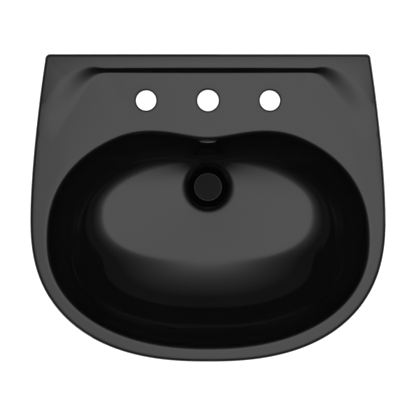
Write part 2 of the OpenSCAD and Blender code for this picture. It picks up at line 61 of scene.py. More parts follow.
# Fixed sizes of the china in millimetres
RECESS_R, RECESS_DROP, HOLE_R = 33.5, 5, 22.25
BOSS_R, BOSS_DROP = 42, 45
SLOT_W, SLOT_H, SLOT_DROP = 37, 17, 27
CHANNEL_Y, CHANNEL_R, RIB_R, DUCT_R, DUCT_DROP = 123, 7, 15, 12, 16
BOLT_X, BOLT_R, BOLT_DROP = 140, 6.5, 55
COLUMN_Y, COLUMN_DEPTH = 35.0, 0.88
FOOT_H, FLARE, FLARE_H = 24, 34, 55
GAP_X, GAP_LOW, GAP_HIGH = 66, 60, 600
WEB_X, WEB_FRONT, WEB_BACK, WEB_H, STUD_R = 105, 77, 117, 14, 5
THREAD_R, THREAD_ROOT_R, THREAD_PITCH, THREAD_L = 20.75, 20.15, 1.5, 60


def length(name, text, default, low=0.0, high=3.0):
    """Size in metres that a user can change."""
    return bpy.props.FloatProperty(
        name=name, description=text, default=default, min=low, max=high, unit="LENGTH", precision=4
    )


def shade(name, text, default):
    """Colour that a user can change."""
    return bpy.props.FloatVectorProperty(
        name=name, description=text, default=default, size=3, min=0.0, max=1.0, subtype="COLOR"
    )


def plain(name, text, default, low=0.0, high=10.0):
    """Number without a unit that a user can change."""
    return bpy.props.FloatProperty(name=name, description=text, default=default, min=low, max=high)


class BasinSizes(bpy.types.PropertyGroup):
    """Sizes of the basin."""

    width: length("Width", "Over the basin's sides", BASIN_HIGH.x - BASIN_LOW.x)
    depth: length("Depth", "From the wall to the front", BASIN_HIGH.y - BASIN_LOW.y)
    ledge: length("Ledge height", "Height of the back ledge above the rim", 0.009)
    bowl_depth: length("Bowl depth", "From the rim to the drain", 0.150)
    edge: length("Edge radius", "Round of the rim's outer edge", 0.0055)
    lip: length("Lip radius", "Round of the bowl's lip", 0.007)
    pitch: length("Faucet spacing", "From the middle faucet hole to each outer one", 0.1016)
    setback: length("Faucet setback", "From the wall to the faucet holes", 0.076)


class PedestalSizes(bpy.types.PropertyGroup):
    """Sizes of the pedestal."""

    waist: length("Waist", "Half width at the waist", 0.079)
    neck: length("Neck", "Half width at the top", 0.108)
    foot: length("Foot", "Half width at the foot", (PEDESTAL_HIGH.x - PEDESTAL_LOW.x) / 2)
    wall: length("Wall", "Thickness of the china", 0.012)


class FinishChoices(bpy.types.PropertyGroup):
    """Colours of the finishes."""

    glaze: shade("Glaze", "Colour of the black glaze", (0.0024, 0.0024, 0.0026))
    biscuit: shade("Bare china", "Unglazed foot of the china", (0.42, 0.36, 0.29))
    coating: shade("Drain coating", "Matt coating of the drain", (0.0005, 0.0005, 0.0005))
    # Near black, darker than the stopper's coating: painted shade standing in for the deep gap
    # round the stopper
    cap: shade("Stopper coating", "Matt coating of the stopper", (0.0042, 0.0042, 0.0042))
    chrome: shade("Chrome", "Colour of the chrome trap", (0.62, 0.62, 0.63))
    brass: shade("Brass", "Colour of the bare brass", (0.55, 0.40, 0.18))
    steel: shade("Steel", "Colour of the spring and clip", (0.48, 0.48, 0.48))
    rubber: shade("Rubber", "Colour of the gaskets", (0.02, 0.02, 0.02))
    nylon: shade("Nylon", "Colour of the pale plastic", (0.72, 0.72, 0.68))


class StudioSettings(bpy.types.PropertyGroup):
    """Camera and lights."""

    view_width: length("View width", "Width seen at the height of the rim", 0.6822)
    camera_rise: length("Camera rise", "Camera above the rim", 6.0, 1.0, 20.0)
    light_height: length("Light height", "Overhead light above the floor", 3.0)
    light_shift: length("Light shift", "Overhead light towards the right", 0.12, -1.0)
    light_spread: plain("Light spread", "Half angle of the overhead light in degrees", 21.0, 5, 60)
    light_glow: plain("Light glow", "Radiance in the middle of the overhead light", 2.03)
    room_glow: plain("Room glow", "Strength of the pale surroundings", 1.35)


# ---------- finishes ----------


class Tone:
    """Value that a finish works out over a surface, for use in formulas."""

    def __init__(self, recipe, socket):
        self.recipe = recipe
        self.socket = socket

    def maths(self, operation, first, second=0.0):
        return self.recipe.node("ShaderNodeMath", {"operation": operation}, {0: first, 1: second})

    def __add__(self, other):
        return self.maths("ADD", self, other)

    __radd__ = __add__

    def __sub__(self, other):
        return self.maths("SUBTRACT", self, other)

    def __rsub__(self, other):
        return self.maths("SUBTRACT", other, self)

    def __mul__(self, other):
        return self.maths("MULTIPLY", self, other)

    __rmul__ = __mul__

    def __truediv__(self, other):
        return self.maths("DIVIDE", self, other)

    def __rtruediv__(self, other):
        return self.maths("DIVIDE", other, self)

    def __pow__(self, other):
        return self.maths("POWER", self, other)

    def arctangent(self):
        return self.maths("ARCTANGENT", self)

    def at_least(self, low):
        return self.maths("MAXIMUM", self, low)


class Recipe:
    """Nodes of a finish or a light, written as formulas."""

    def __init__(self, tree):
        self.tree = tree
        self.tree.nodes.clear()

    def node(self, kind, settings=None, sockets=None, out=0):
        """Adds a node, makes its settings, fills its sockets and gives back one output."""
        made = self.tree.nodes.new(kind)
        for key, value in (settings or {}).items():
            setattr(made, key, value)
        for key, value in (sockets or {}).items():
            if isinstance(value, Tone):
                self.tree.links.new(value.socket, made.inputs[key])
            else:
                made.inputs[key].default_value = value
        return Tone(self, made.outputs[out])

    def from_axis(self, x, y):
        """Distance from an upright axis."""
        flat = self.node(
            "ShaderNodeVectorMath", {"operation": "MULTIPLY_ADD"},
            {0: self.place, 1: (1, 1, 0), 2: (-x, -y, 0)},
        )
        return self.node("ShaderNodeVectorMath", {"operation": "LENGTH"}, {0: flat}, "Value")


class Finish(Recipe):
    """Material built from formulas on the place of each point of the piece."""

    def __init__(self, name):
        self.material = bpy.data.materials.new(name)
        self.material.use_nodes = True
        super().__init__(self.material.node_tree)
        self.place = self.node("ShaderNodeTexCoord", out="Object")

    def noise(self, scale, detail=2.0, stretch=(1, 1, 1)):
        place = self.node("ShaderNodeMapping", None, {"Vector": self.place, "Scale": stretch})
        return self.node(
            "ShaderNodeTexNoise", None, {"Vector": place, "Scale": scale, "Detail": detail}
        )

    def height(self):
        return self.node("ShaderNodeSeparateXYZ", None, {0: self.place}, "Z")

    def between(self, value, low, high):
        return self.node(
            "ShaderNodeMapRange",
            {"interpolation_type": "SMOOTHSTEP"},
            {"Value": value, "From Min": low, "From Max": high},
        )

    def mix(self, share, first, second):
        return self.node(
            "ShaderNodeMix", {"data_type": "RGBA"}, {0: share, 6: first, 7: second}, 2
        )

    def tint(self, share, colour, darker, lighter):
        """Colour that wanders between a darker and a lighter form of itself."""
        return self.mix(
            share,
            (*[c * darker for c in colour], 1),
            (*[min(1.0, c * lighter) for c in colour], 1),
        )

    def surface(self, varied, fixed, relief=None, depth=0.0001, strength=0.3):
        """Ends the finish: sockets that vary, sockets that don't, and the relief's height."""
        shader = self.node("ShaderNodeBsdfPrincipled", None, {**fixed, **varied})
        if relief is not None:
            bump = self.node(
                "ShaderNodeBump", None, {"Height": relief, "Distance": depth, "Strength": strength}
            )
            self.tree.links.new(bump.socket, shader.socket.node.inputs["Normal"])
        output = self.tree.nodes.new("ShaderNodeOutputMaterial")
        self.tree.links.new(shader.socket, output.inputs[0])
        return self.material


def glaze(name, colours, bare_below):
    """Gloss black glaze over china, with a bare ring where it stood in the kiln."""
    f = Finish(name)
    mottle = f.noise(14.0, 4.0)
    peel = f.noise(260.0, 1.0)
    wave = f.noise(11.0, 1.0)
    specks = f.between(f.noise(900.0, 2.0), 0.66, 0.74)
    bare = 1 - f.between(f.height(), bare_below, bare_below + 0.0015)
    black = f.tint(mottle, colours.glaze, 0.75, 1.3)
    black = f.mix(specks * 0.12, black, (0.02, 0.02, 0.021, 1))
    grain = f.tint(f.noise(420.0, 5.0), colours.biscuit, 0.8, 1.15)
    return f.surface(
        {
            "Base Color": f.mix(bare, black, grain),
            "Roughness": 0.035 + 0.03 * mottle + 0.7 * bare,
        },
        {"IOR": 1.5},
        peel * 0.25 + wave + f.noise(420.0, 5.0) * bare,
        0.00035,
        0.12,
    )


def coated(name, colour, roughness, gloss, polished_from=None):
    """Matt sprayed coating with a fine grain, polished outside a radius round the drain."""
    f = Finish(name)
    grain = f.noise(1500.0, 3.0)
    cloud = f.noise(60.0, 3.0)
    varied = {
        "Base Color": f.tint(cloud, colour, 0.8, 1.2),
        "Roughness": roughness + 0.1 * cloud,
    }
    if polished_from is not None:
        away = f.from_axis(0, DRAIN_Y)
        varied["Coat Weight"] = f.between(away, polished_from, polished_from + 0.0003)
    return f.surface(
        varied,
        {"Specular IOR Level": gloss, "Coat Roughness": 0.14},
        grain,
        0.00006,
        0.3,
    )


def metal(name, colour, roughness, stretch, grain_scale, strength):
    """Bare or plated metal with marks from drawing, turning or polishing."""
    f = Finish(name)
    marks = f.noise(grain_scale, 3.0, stretch)
    cloud = f.noise(35.0, 4.0)
    return f.surface(
        {
            "Base Color": f.tint(cloud, colour, 0.9, 1.08),
            "Roughness": roughness + 0.08 * cloud + 0.06 * marks,
        },
        {"Metallic": 1.0},
        marks,
        0.00005,
        strength,
    )


def moulded(name, colour, roughness, grain_scale, strength):
    """Moulded rubber or plastic with a fine skin."""
    f = Finish(name)
    skin = f.noise(grain_scale, 4.0)
    cloud = f.noise(45.0, 3.0)
    return f.surface(
        {
            "Base Color": f.tint(cloud, colour, 0.85, 1.12),
            "Roughness": roughness + 0.12 * cloud,
        },
        {"Specular IOR Level": 0.4},
        skin,
        0.00008,
        strength,
    )


# ---------- modelling ----------


def deselect():
    if bpy.context.object and bpy.context.object.mode != "OBJECT":
        bpy.ops.object.mode_set(mode="OBJECT")
    bpy.ops.object.select_all(action="DESELECT")


def only(piece):
    deselect()
    piece.select_set(True)
    bpy.context.view_layer.objects.active = piece


def start(name):
    """Names the primitive that was just added, and puts its place in its mesh."""
    piece = bpy.context.object
    piece.name = name
    piece.data.name = name
    bpy.ops.object.transform_apply(location=True, rotation=True, scale=True)
    return piece


def edit(piece):
    only(piece)
    bpy.ops.object.mode_set(mode="EDIT")
    bpy.ops.mesh.select_all(action="SELECT")


def turned(name, line, centre_y, sides=96):
    """Piece turned on an upright axis from (radius, height) pairs in millimetres."""
    deselect()
    y = centre_y
    radius, z = line[0]
    bpy.ops.mesh.primitive_circle_add(vertices=sides, radius=radius * MM, location=(0, y, z * MM))
    piece = start(name)
    edit(piece)
    for (r0, z0), (r1, z1) in zip(line, line[1:]):
        bpy.ops.mesh.extrude_edges_move(TRANSFORM_OT_translate={"value": (0, 0, (z1 - z0) * MM)})
        bpy.ops.transform.resize(value=(r1 / r0, r1 / r0, 1), center_override=(0, y, z1 * MM))
    bpy.ops.object.mode_set(mode="OBJECT")
    return piece


def capped(piece):
    """Closes both open ends of a turned piece."""
    edit(piece)
    bpy.ops.mesh.select_all(action="DESELECT")
    bpy.ops.mesh.select_mode(type="EDGE")
    bpy.ops.mesh.select_non_manifold(extend=False, use_multi_face=False, use_non_contiguous=False,
                                     use_verts=False)
    bpy.ops.mesh.fill_holes(sides=0)
    bpy.ops.mesh.select_all(action="SELECT")
    bpy.ops.mesh.normals_make_consistent(inside=False)
    bpy.ops.object.mode_set(mode="OBJECT")
    return piece


def ring_closed(piece):
    """Joins the last ring of a turned piece to its first."""
    edit(piece)
    bpy.ops.mesh.remove_doubles(threshold=0.000002)
    bpy.ops.mesh.normals_make_consistent(inside=False)
    bpy.ops.object.mode_set(mode="OBJECT")
    return piece


def rod(radius, low, high, along, sides=48):
    """Cutter or rib: a round bar between two points, along X, Y or Z."""
    deselect()
    middle = [(a + b) / 2 * MM for a, b in zip(low, high)]
    reach = max(abs(b - a) for a, b in zip(low, high)) * MM
    turn = {"X": (0, math.pi / 2, 0), "Y": (math.pi / 2, 0, 0), "Z": (0, 0, 0)}[along]
    bpy.ops.mesh.primitive_cylinder_add(
        vertices=sides, radius=radius * MM, depth=reach, location=middle, rotation=turn
    )
    return start("rod")


def block(low, high, round_along=None, radius=0.0):
    """Cutter or rib: a box between two corners, with its edges along one axis rounded."""
    deselect()
    bpy.ops.mesh.primitive_cube_add(
        size=1,
        location=[(a + b) / 2 * MM for a, b in zip(low, high)],
        scale=[(b - a) * MM for a, b in zip(low, high)],
    )
    piece = start("block")
    if round_along is not None:
        edit(piece)
        bpy.ops.mesh.select_all(action="DESELECT")
        bpy.ops.object.mode_set(mode="OBJECT")
        points = piece.data.vertices
        for e in piece.data.edges:
            run = points[e.vertices[0]].co - points[e.vertices[1]].co
            e.select = abs(run[round_along]) > 0.9 * run.length
        bpy.ops.object.mode_set(mode="EDIT")
        bpy.ops.mesh.select_mode(type="EDGE")
        bpy.ops.mesh.bevel(offset=radius * MM, segments=8, affect="EDGES")
        bpy.ops.object.mode_set(mode="OBJECT")
    return piece


def combine(piece, tools, operation):
    """Adds the tools to a piece or cuts them out of it, and clears them away."""
    for tool in tools:
        change = piece.modifiers.new("change", "BOOLEAN")
        change.object = tool
        change.operation = operation
        change.solver = "EXACT"
        only(piece)
        bpy.ops.object.modifier_apply(modifier=change.name)
        if not piece.data.polygons:
            raise RuntimeError(f"{tool.name} left nothing of {piece.name}")
        bpy.data.objects.remove(tool)


def skin(name, rings, joined=False):
    """Closed skin over rings of points in millimetres.

    The last ring is joined to the first, as on a thick tube, or each end gets a flat face.
    """
    count = len(rings[0])
    faces = []
    for j in range(len(rings) if joined else len(rings) - 1):
        n = (j + 1) % len(rings)
        for i in range(count):
            k = (i + 1) % count
            faces.append((j * count + i, j * count + k, n * count + k, n * count + i))
    if not joined:
        last = (len(rings) - 1) * count
        faces.append(tuple(range(count - 1, -1, -1)))
        faces.append(tuple(range(last, last + count)))
    mesh = bpy.data.meshes.new(name)
    mesh.from_pydata((np.concatenate(rings) * MM).tolist(), [], faces)
    mesh.validate()
    piece = bpy.data.objects.new(name, mesh)
    bpy.context.scene.collection.objects.link(piece)
    edit(piece)
    bpy.ops.mesh.normals_make_consistent(inside=False)
    bpy.ops.object.mode_set(mode="OBJECT")
    return piece


def hand_over(piece, body, node, material, angle=32.0):
    """Smooths a finished piece, gives it its finish and lets it ride with its body."""
    only(piece)
    bpy.ops.object.shade_smooth_by_angle(angle=math.radians(angle))
    piece.data.materials.clear()
    piece.data.materials.append(material)
    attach(piece, body)
    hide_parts(node)


def dress(material, *names):
    """Gives carried-over nodes a better finish."""
    for name in names:
        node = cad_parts[name]
        if not node.data.materials:
            node.data.materials.append(material)
        for index in range(len(node.data.materials)):
            node.data.materials[index] = material


# ---------- shape of the china ----------


def blend(a, b, t):
    return a + (b - a) * t


def ease(t):
    t = np.clip(t, 0, 1)
    return t * t * (3 - 2 * t)


def directions(angles):
    return np.stack([np.cos(angles), np.sin(angles)], axis=-1)


def super_radius(angles, a, b, n):
    """Radius of a superellipse with half axes a and b and exponent n."""
    return ((np.abs(np.cos(angles)) / a) ** n + (np.abs(np.sin(angles)) / b) ** n) ** (-1 / n)


def at(points, z):
    """Ring of points in the plane, raised to a height or to a height for each point."""
    return np.column_stack([points, np.broadcast_to(z, len(points))])


def softened(rings, rounds):
    """Cuts the corners of the run from ring to ring."""
    for _ in range(rounds):
        run = [rings[0]]
        for a, b in zip(rings, rings[1:]):
            run += [0.75 * a + 0.25 * b, 0.25 * a + 0.75 * b]
        rings = run + [rings[-1]]
    return rings


def column_line(angles, a):
    """Line of the pedestal's section with half width a, at each angle."""
    back = np.sin(angles) >= 0
    b = a * COLUMN_DEPTH
    radius = np.where(back, super_radius(angles, a, b, 5), super_radius(angles, a, b, 2.3))
    return np.array([0, COLUMN_Y]) + radius[:, None] * directions(angles)


class BasinShape:
    """Lines and rings of the basin in millimetres, all with the same number of points."""

    FRONT, SIDE, CORNER, BACK = 80, 40, 8, 56
    WIDEST_Y, FRONT_POWER, CORNER_R = -17.2, 2.42, 8
    SIDE_CURVE, SIDE_POWER = 0.00339, 1.6
    BOWL_C = np.array([0, -53.3])
    BOWL_A, BOWL_FRONT, BOWL_BACK, LIP_INSET = 265.5, 179, 195, 5.5
    BOWL_DIP, DIP_SPAN = 25, 42
    FLOOR_Y, FLOOR_A, FLOOR_B, FLOOR_START_R = -6, 172, 82, 30
    DISH_DEPTH, DISH_W, DISH_POWER = 4.6, 9, 1.4
    WALL_POWER = 1.8
    LEDGE_BACK, LEDGE_STRAIGHT, LEDGE_CURVE, LEDGE_POWER = 27, 180, 0.0321, 1.8
    DECK_T, SKIRT_T, FRONT_SKIRT, BACK_SKIRT = 16, 13, 50, 98
    NECK_A, BELLY_DROP, NECK_DROP = 105, 10, 30
    BELLY_ANGLES = (16, 30, 44, 56, 67, 77, 86)

    def __init__(self, size):
        self.half_w = size.width / 2 / MM
        self.back_y = size.depth / 2 / MM
        self.front_b = self.back_y + self.WIDEST_Y
        self.ledge_h = size.ledge / MM
        self.rim_z = BASIN_HIGH.z / MM - self.ledge_h
        self.drain_z = self.rim_z - size.bowl_depth / MM
        self.drain_c = np.array([0, DRAIN_Y / MM])
        self.edge_r = size.edge / MM
        self.lip_r = size.lip / MM
        self.belly_z = self.drain_z - self.BELLY_DROP
        self.neck_z = self.drain_z - self.NECK_DROP
        self.line = self.outline(0)
        away = self.line - self.BOWL_C
        self.ray = np.arctan2(away[:, 1], away[:, 0])
        self.rise = np.degrees(np.arcsin(np.clip(np.sin(self.ray), -1, 1)))
        self.floor_edge = self.BOWL_C + self.floor_radius()[:, None] * directions(self.ray)
        self.low = self.rim_z - blend(
            self.FRONT_SKIRT, self.BACK_SKIRT, ease((self.rise + 5) / 48)
        )
        self.hollow = ease((self.rise - 16) / 20)[:, None]
        self.ledge_top = (
            self.ledge_h
            * ease((self.rise - 30) / 18)
            * (1 - 0.3 * (np.abs(self.line[:, 0]) / self.half_w) ** 4)
        )

    def side_x(self, y):
        behind = np.maximum(0, y - self.WIDEST_Y)
        return self.half_w - self.SIDE_CURVE * behind**self.SIDE_POWER

    def outline(self, inset):
        """Outline of the basin, moved inwards, from the front round the right side."""
        r = max(self.CORNER_R - inset, 1)
        corner_y = self.back_y - inset - r
        corner_x = self.side_x(self.back_y - self.CORNER_R) - inset - r
        a = np.radians(90 * (1 - np.arange(self.FRONT) / self.FRONT))
        n = 2 / self.FRONT_POWER
        front = np.column_stack([
            (self.half_w - inset) * np.cos(a) ** n,
            self.WIDEST_Y - (self.front_b - inset) * np.sin(a) ** n,
        ])
        front[0, 0] = 0
        y = blend(self.WIDEST_Y, corner_y, np.arange(self.SIDE) / self.SIDE)
        side = np.column_stack([self.side_x(y) - inset, y])
        b = np.radians(90 * np.arange(self.CORNER + 1) / self.CORNER)
        corner = np.array([corner_x, corner_y]) + r * directions(b)
        t = np.arange(1, self.BACK + 1) / self.BACK
        back = np.column_stack([corner_x * (1 - t), np.full(len(t), corner_y + r)])
        half = np.concatenate([front, side, corner, back])
        return np.concatenate([half, half[-2:0:-1] * np.array([-1, 1])])

    def rim_radius(self):
        degrees = np.degrees(self.ray)
        near = np.clip((degrees - 90) / self.DIP_SPAN, -1, 1)
        dip = self.BOWL_DIP * (0.5 + 0.5 * np.cos(np.pi * near))
        return np.where(
            np.sin(self.ray) < 0,
            super_radius(self.ray, self.BOWL_A, self.BOWL_FRONT, 2.2),
            super_radius(self.ray, self.BOWL_A, self.BOWL_BACK, 2.3) - dip,
        )

    def bowl_edge(self, grow):
        away = self.rim_radius() - self.LIP_INSET + grow
        return self.BOWL_C + away[:, None] * directions(self.ray)

    def floor_radius(self):
        """Distance along each ray to the floor's edge, which is fuller towards the front."""

        def past(x, y):
            n = np.where(y < self.FLOOR_Y, 2.6, 2.0)
            along = np.abs(y - self.FLOOR_Y) / self.FLOOR_B
            return (np.abs(x) / self.FLOOR_A) ** n + along**n > 1

        return self.first_hit(np.zeros(len(self.ray)), np.full(len(self.ray), 300.0), past)

    def floor_rise(self):
        """Rise of the floor from the drain's dish to the wall, steeper behind the drain."""
        behind = self.floor_edge[:, 1] > self.drain_c[1]
        return 6.4 + 5 * behind * np.exp(-((self.floor_edge[:, 0] / 32) ** 2))

    def floor_height(self, t, points):
        """Height over the drain's edge: a steep dish round the drain, then a gentle fall."""
        away = np.linalg.norm(points - self.drain_c, axis=1)
        inward = 1 - np.minimum(1, (away - RECESS_R) / self.DISH_W)
        dish = self.DISH_DEPTH * (1 - inward**self.DISH_POWER)
        return dish + self.floor_rise() * t

    def floor_ring(self, t):
        out = self.floor_edge - self.drain_c
        first = self.drain_c + self.FLOOR_START_R * out / np.linalg.norm(out, axis=1)[:, None]
        points = blend(first, self.floor_edge, t)
        return at(points, self.drain_z + self.floor_height(t, points))

    def wall_ring(self, degrees):
        """Ring of the bowl's wall, which leaves the floor at the floor's own slope."""
        a = math.radians(degrees)
        base = self.drain_z + self.floor_height(1, self.floor_edge)
        power = 2 / self.WALL_POWER
        out = max(0, math.cos(a)) ** power
        edge = self.bowl_edge(0)
        width = np.linalg.norm(edge - self.floor_edge, axis=1)
        run = np.linalg.norm(self.floor_edge - self.drain_c, axis=1) - self.FLOOR_START_R
        start_slope = self.floor_rise() / run * width
        return at(
            blend(self.floor_edge, edge, out),
            blend(self.rim_z - self.lip_r, base, math.sin(a) ** power)
            + start_slope * out * (1 - out) ** 3,
        )

    def lip_ring(self, degrees):
        a = math.radians(degrees)
        return at(
            self.bowl_edge(self.lip_r * (1 - math.cos(a))),
            self.rim_z - self.lip_r + self.lip_r * math.sin(a),
        )

    def first_hit(self, low, high, past):
        """Distance along each ray, between two bounds, where it crosses a line."""
        for _ in range(30):
            middle = (low + high) / 2
            beyond = past(*(self.BOWL_C + middle[:, None] * directions(self.ray)).T)
            high = np.where(beyond, middle, high)
            low = np.where(beyond, low, middle)
        return middle

    def ledge_hit(self, low, high):
        """Distance along each ray to the front line of the ledge."""

        def past(x, y):
            bend = np.maximum(0, np.abs(x) - self.LEDGE_STRAIGHT) ** self.LEDGE_POWER
            return y > self.back_y - self.LEDGE_BACK - self.LEDGE_CURVE * bend

        return self.first_hit(low, high, past)

    def deck_ring(self, t):
        inner = self.rim_radius() - self.LIP_INSET + self.lip_r
        outer = np.linalg.norm(self.outline(self.edge_r) - self.BOWL_C, axis=1)
        hit = np.clip(self.ledge_hit(inner, outer), inner + 10, outer - 10)
        reach = np.abs(hit * np.cos(self.ray))
        half = 5 + 20 * ease((reach - 165) / 70)
        ramp = blend(np.maximum(hit - half, inner + 3), np.minimum(hit + half, outer - 1), t)
        share = ease((self.rise - 22) / 12)
        away = blend(blend(inner, outer, 0.2 + 0.6 * t), ramp, share)
        points = self.BOWL_C + away[:, None] * directions(self.ray)
        return at(points, self.rim_z + self.ledge_top * ease(t))

    def edge_ring(self, degrees):
        a = math.radians(degrees)
        line = self.outline(self.edge_r * (1 - math.sin(a)))
        return at(line, self.rim_z + self.ledge_top - self.edge_r * (1 - math.cos(a)))

    def skirt_ring(self, t):
        upright = ease((self.rise - 38) / 8)[:, None]
        line = blend(self.outline(3 * t**2.6), self.line, upright)
        top = self.rim_z + self.ledge_top - self.edge_r
        return at(line, blend(blend(top, self.rim_z - self.edge_r, ease(3 * t)), self.low, t))

    def neck_line(self, inset):
        away = self.line - np.array([0, COLUMN_Y])
        return column_line(np.arctan2(away[:, 1], away[:, 0]), self.NECK_A - inset)

    def neck_ring(self, inset, rise):
        return at(self.neck_line(inset), self.neck_z + rise)

    def shaft_ring(self, t):
        top = self.rim_z - 28
        points = blend(self.bowl_edge(13), self.neck_line(-2), float(ease(t)))
        return at(points, blend(top, self.belly_z, t))

    def under_ring(self, k):
        """Ring under the basin: belly at the front, open hollow behind the bowl."""
        a = math.radians(np.interp(k, range(7), self.BELLY_ANGLES))
        belly = at(
            blend(self.outline(3), self.neck_line(0), 1 - math.cos(a)),
            blend(self.rim_z - self.FRONT_SKIRT, self.belly_z, math.sin(a)),
        )
        deck = self.rim_z - self.DECK_T
        stations = [
            at(self.outline(self.SKIRT_T), self.low),
            at(self.outline(self.SKIRT_T), deck - 12),
            at(self.outline(self.SKIRT_T + 10), deck),
            at(self.bowl_edge(22), deck),
            self.shaft_ring(0),
        ]
        if k >= 4:
            behind = self.shaft_ring((k - 4) / 2)
        else:
            j = int(k)
            behind = blend(stations[j], stations[j + 1], k - j)
        return blend(belly, behind, self.hollow)

    def rings(self):
        under = [self.skirt_ring(0.94), self.skirt_ring(1)]
        for j in range(6):
            under += [self.under_ring(j + share) for share in (0, 0.08, 0.35, 0.65, 0.92)]
        under += [
            self.under_ring(6), self.neck_ring(-1, 12), self.neck_ring(0, 3),
            self.neck_ring(0.8, 0.8), self.neck_ring(3, 0),
        ]
        return (
            [self.floor_ring(t) for t in np.linspace(0, 1, 25)[:-1] ** 1.5]
            + [self.wall_ring(a) for a in np.linspace(90, 0, 31)]
            + [self.lip_ring(a) for a in np.linspace(10, 90, 9)]
            + [self.deck_ring(t) for t in np.linspace(0, 1, 15)]
            + [self.edge_ring(a) for a in np.linspace(0, 90, 10)]
            + [self.skirt_ring(t) for t in (0.1, 0.22, 0.36, 0.52, 0.68, 0.82)]
            + softened(under, 1)
            + [self.neck_ring(12, 0), self.neck_ring(14.5, 1), self.neck_ring(17, 18)]
        )


def faucet_cutter(radius, top, flare=3.2):
    """Cutter for a faucet hole with a rounded mouth, as (radius, height) pairs."""
    arc = [math.radians(a) for a in (0, 16, 32, 48, 64, 78)]
    return (
        [(radius, top - 60)]
        + [(radius + flare * (1 - math.cos(a)), top - flare * (1 - math.sin(a))) for a in arc]
        + [(radius + flare, top + 12)]
    )


def mouth_cutter(drain):
    """Cutter for the drain's hole and its recess, as (radius, height) pairs."""
    floor = drain - RECESS_DROP
    arc = [math.radians(a) for a in (0, 18, 36, 54, 72)]
    return (
        [(HOLE_R, drain - 50), (HOLE_R, floor), (RECESS_R - 2, floor), (RECESS_R - 1, floor + 0.27),
         (RECESS_R - 0.27, floor + 1), (RECESS_R, floor + 2)]
        + [(RECESS_R + 0.25 * (1 - math.cos(a)), drain - 0.1 + 0.25 * math.sin(a)) for a in arc]
        + [(RECESS_R + 0.2, drain + 12)]
    )


def slot_cutter(middle_z, back):
    """Cutter for the overflow: a slot with round ends that widens towards the bowl."""
    deselect()
    z = middle_z * MM
    bpy.ops.mesh.primitive_circle_add(
        vertices=48, radius=SLOT_H / 2 * MM, location=(0, back * MM, z),
        rotation=(math.pi / 2, 0, 0),
    )
    piece = start("slot")
    straight = (SLOT_W - SLOT_H) / 2 * MM
    for v in piece.data.vertices:
        v.co.x += math.copysign(straight, v.co.x) if abs(v.co.x) > 1e-6 else 0
    edit(piece)
    y, height = back, 1.0
    for next_y, next_height in ((113.5, 1), (112, 1.02), (111, 1.06), (110, 1.13), (80, 1.13)):
        bpy.ops.mesh.extrude_edges_move(TRANSFORM_OT_translate={"value": (0, (next_y - y) * MM, 0)})
        growth = next_height / height
        bpy.ops.transform.resize(
            value=(1 + (growth - 1) * 0.5, 1, growth), center_override=(0, next_y * MM, z)
        )
        y, height = next_y, next_height
    bpy.ops.object.mode_set(mode="OBJECT")
    return capped(piece)


# ---------- operators ----------


class SINK_OT_basin(bpy.types.Operator):
    """Casts the basin with its bowl, ledge, holes and overflow"""

    bl_idname = "sink.basin"
    bl_label = "Basin"

    def execute(self, context):
        size = context.scene.sink_basin
        shape = BasinShape(size)
        piece = skin("basin_china", shape.rings())
        rim, drain = shape.rim_z, shape.drain_z
        slot_z, duct_z, drain_y = rim - SLOT_DROP, drain - DUCT_DROP, DRAIN_Y / MM
        deselect()
        bpy.ops.mesh.primitive_uv_sphere_add(
            segments=64, ring_count=32, radius=1,
            location=(0, 0.112, (slot_z - 10.5) * MM), scale=(0.018, 0.0045, 0.0035),
        )
        pout = start("pout")
        rib = rod(RIB_R, (0, CHANNEL_Y, drain - 26), (0, CHANNEL_Y, slot_z + 14), "Z", 64)
        edit(rib)
        bpy.ops.mesh.bisect(
            plane_co=(0, 0.114, 0), plane_no=(0, 1, 0), use_fill=True, clear_inner=True
        )
        bpy.ops.object.mode_set(mode="OBJECT")
        boss = capped(turned(
            "boss",
            [(BOSS_R - 1.5, drain - BOSS_DROP), (BOSS_R - 0.4, drain - BOSS_DROP + 0.5),
             (BOSS_R, drain - BOSS_DROP + 1.5), (BOSS_R, drain - 6)],
            DRAIN_Y,
        ))
        duct = rod(DUCT_R, (0, drain_y, duct_z), (0, CHANNEL_Y, duct_z), "Y")
        combine(piece, [boss, duct, rib, pout], "UNION")
        mouth = capped(turned("mouth", mouth_cutter(drain), DRAIN_Y))
        cutters = [
            mouth,
            slot_cutter(slot_z, CHANNEL_Y),
            rod(CHANNEL_R, (0, CHANNEL_Y, duct_z), (0, CHANNEL_Y, slot_z), "Z"),
            rod(CHANNEL_R, (0, drain_y, duct_z), (0, CHANNEL_Y + 4, duct_z), "Y"),
        ]
        hole_y = size.depth / 2 - size.setback
        for side in (-1, 0, 1):
            radius = 17.5 if side == 0 else 16.5
            tool = capped(turned("hole", faucet_cutter(radius, rim), hole_y))
            if side:
                edit(tool)
                bpy.ops.transform.translate(value=(side * size.pitch, 0, 0))
                bpy.ops.object.mode_set(mode="OBJECT")
                x, back, bolt_z = side * BOLT_X, shape.back_y, rim - BOLT_DROP
                cutters.append(rod(BOLT_R, (x, back - 22, bolt_z), (x, back + 2, bolt_z), "Y"))
            cutters.append(tool)
        combine(piece, cutters, "DIFFERENCE")
        material = glaze("basin_glaze", context.scene.sink_finish, -1.0)
        hand_over(piece, "sink", "basin", material)
        return {"FINISHED"}


